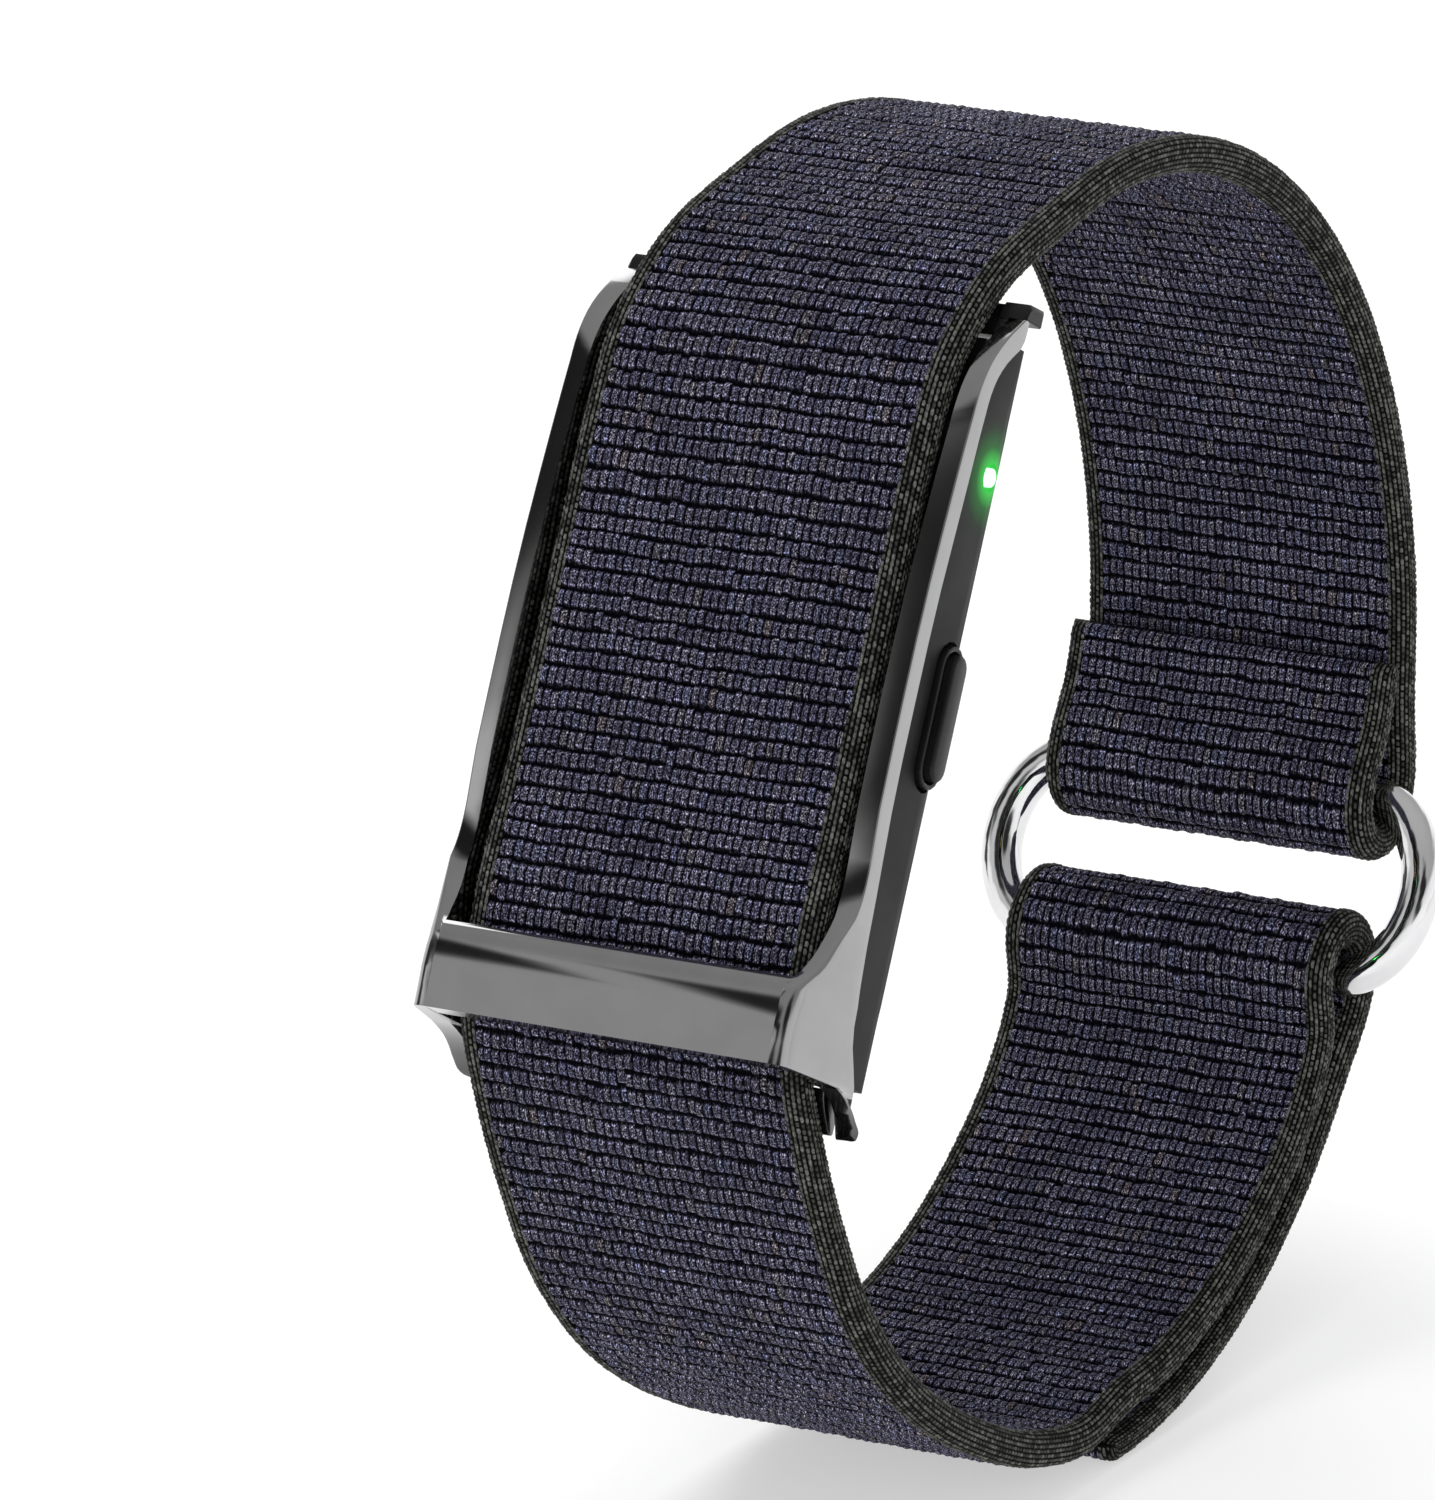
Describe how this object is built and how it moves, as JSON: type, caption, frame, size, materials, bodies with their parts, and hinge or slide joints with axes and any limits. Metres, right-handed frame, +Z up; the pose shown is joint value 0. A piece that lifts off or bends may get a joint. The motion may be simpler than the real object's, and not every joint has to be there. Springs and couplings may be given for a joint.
{
  "type": "fitness tracker band",
  "caption": "Slim screenless fitness tracker in a metal frame, with a side button and an optical sensor, on a ribbed hook-and-loop fabric strap that closes through a wire ring.",
  "frame": {"origin": "centre of the wrist opening, halfway across the strap", "axes": "+Z up with the closed band standing on its strap, +Y along the wrist away from the side button, -X towards the tracker"},
  "size_m": [0.0782, 0.0288, 0.0738],
  "materials": {
    "metal_frame": "polished gunmetal plating, satin in the recesses",
    "top_end_bar": "satin black moulded plastic",
    "bottom_end_bar": "gunmetal plating",
    "rear_case": "satin black moulded plastic",
    "top_cover": "satin black moulded plastic",
    "case_gasket": "matt black",
    "sensor_window": "dark tinted clear window",
    "window_bezel": "black",
    "sensor_board": "solder-masked circuit board",
    "led_package": "ceramic and clear resin",
    "photodiode": "dark resin",
    "green_led": "clear resin, lit green",
    "light_barrier": "matt black",
    "battery": "foil pouch",
    "vibration_motor": "plain steel can",
    "main_board": "solder-masked circuit board",
    "processor_chip": "moulded package",
    "motion_sensor": "moulded package",
    "antenna": "bare plated strip",
    "charge_contact_1": "gold plated",
    "charge_contact_2": "gold plated",
    "charge_magnet_1": "nickel plated",
    "charge_magnet_2": "nickel plated",
    "sensor_flex": "amber polyimide film",
    "side_button": "satin black",
    "button_bezel": "black",
    "button_switch": "plain steel dome switch",
    "status_light": "clear light pipe, lit green",
    "strap": "ribbed navy-grey woven webbing with bound edges",
    "strap_tail": "ribbed navy-grey woven webbing with bound edges",
    "hook_tab": "black moulded hook tape",
    "adjust_ring": "polished"
  },
  "bodies": {
    "band": {"metal_frame": "metal_frame", "top_end_bar": "top_end_bar", "bottom_end_bar": "bottom_end_bar", "rear_case": "rear_case", "top_cover": "top_cover", "case_gasket": "case_gasket", "sensor_window": "sensor_window", "window_bezel": "window_bezel", "sensor_board": "sensor_board", "led_package": "led_package", "photodiode": "photodiode", "green_led": "green_led", "light_barrier": "light_barrier", "battery": "battery", "vibration_motor": "vibration_motor", "main_board": "main_board", "processor_chip": "processor_chip", "motion_sensor": "motion_sensor", "antenna": "antenna", "charge_contact_1": "charge_contact_1", "charge_contact_2": "charge_contact_2", "charge_magnet_1": "charge_magnet_1", "charge_magnet_2": "charge_magnet_2", "sensor_flex": "sensor_flex", "button_bezel": "button_bezel", "button_switch": "button_switch", "status_light": "status_light", "strap": "strap"},
    "button": {"side_button": "side_button"},
    "ring": {"adjust_ring": "adjust_ring"},
    "tail": {"strap_tail": "strap_tail", "hook_tab": "hook_tab"}
  },
  "joints": [
    {"name": "button_press", "type": "slide", "parent": "band", "child": "button", "axis": [0, 1, 0], "range_m": [0, 0.0003], "stiffness_N_per_m": 400},
    {"name": "ring_swivel", "type": "hinge", "parent": "band", "child": "ring", "pos_m": [0.032, 0, -0.00781], "axis": [0, 1, 0], "range_deg": [-2.5, 2.5]},
    {"name": "tail_peel", "type": "hinge", "parent": "band", "child": "tail", "pos_m": [0.02465, 0, -0.02649], "axis": [0, -1, 0], "range_deg": [0, 150]}
  ]
}
